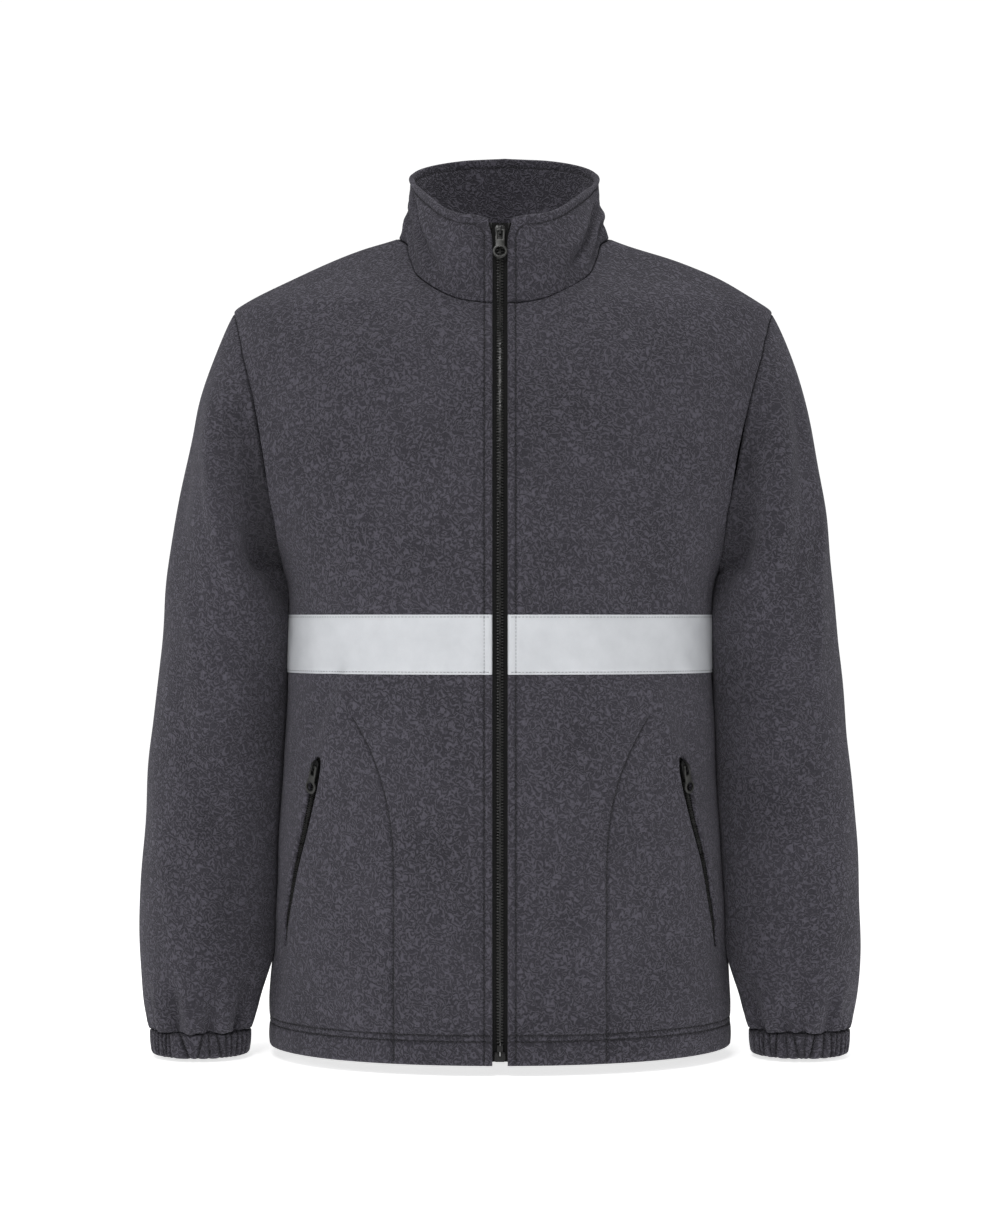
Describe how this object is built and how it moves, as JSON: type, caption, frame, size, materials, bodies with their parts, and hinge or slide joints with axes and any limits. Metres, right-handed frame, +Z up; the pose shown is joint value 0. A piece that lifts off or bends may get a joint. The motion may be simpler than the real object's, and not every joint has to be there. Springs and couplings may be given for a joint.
{
  "type": "fleece zip jacket",
  "caption": "Filled-out fleece jacket with full front zip, stand collar, reflective chest band, zipped side pockets and elastic cuffs.",
  "frame": {"origin": "middle of the neck base, level with the two points where shoulder seam and collar meet, midway between chest and back", "axes": "+Z up the jacket, -Y out of the chest, +X towards the wearer's left"},
  "size_m": [0.6278, 0.2707, 0.7934],
  "materials": {
    "fleece": "short charcoal fleece pile",
    "reflective_tape": "silver-grey retroreflective tape, satin",
    "zip_tape": "black woven tape",
    "zip_teeth": "black moulded teeth",
    "zip_hardware": "dark gunmetal enamel"
  },
  "bodies": {
    "jacket": {"front_right": "fleece", "front_left": "fleece", "back": "fleece", "sleeve_right": "fleece", "sleeve_left": "fleece", "cuff_right": "fleece", "cuff_left": "fleece", "collar": "fleece", "pocket_bag_right": "fleece", "pocket_bag_left": "fleece", "band_front_right": "reflective_tape", "band_front_left": "reflective_tape", "band_back": "reflective_tape", "pocket_tape_right": "zip_tape", "pocket_tape_left": "zip_tape", "zip_tape_right": "zip_tape", "zip_tape_left": "zip_tape", "pocket_chain_right": "zip_teeth", "pocket_chain_left": "zip_teeth", "zip_chain": "zip_teeth", "zip_slider": "zip_hardware", "zip_stop_right": "zip_hardware", "zip_stop_left": "zip_hardware", "zip_retainer": "zip_hardware", "pocket_right_slider": "zip_hardware", "pocket_left_slider": "zip_hardware"},
    "front_pull": {"zip_pull": "zip_hardware"},
    "pocket_right_pull": {"pocket_right_pull": "zip_hardware"},
    "pocket_left_pull": {"pocket_left_pull": "zip_hardware"}
  },
  "joints": [
    {"name": "front_pull_swing", "type": "hinge", "parent": "jacket", "child": "front_pull", "pos_m": [0, -0.08043, -0.00364], "axis": [-1, 0, 0], "range_deg": [0, 150]},
    {"name": "pocket_right_pull_swing", "type": "hinge", "parent": "jacket", "child": "pocket_right_pull", "pos_m": [-0.15804, -0.09375, -0.45959], "axis": [-0.6867, 0.6759, 0.2676], "range_deg": [0, 150]},
    {"name": "pocket_left_pull_swing", "type": "hinge", "parent": "jacket", "child": "pocket_left_pull", "pos_m": [0.15781, -0.09343, -0.45949], "axis": [-0.6445, -0.7137, -0.2742], "range_deg": [0, 150]}
  ]
}
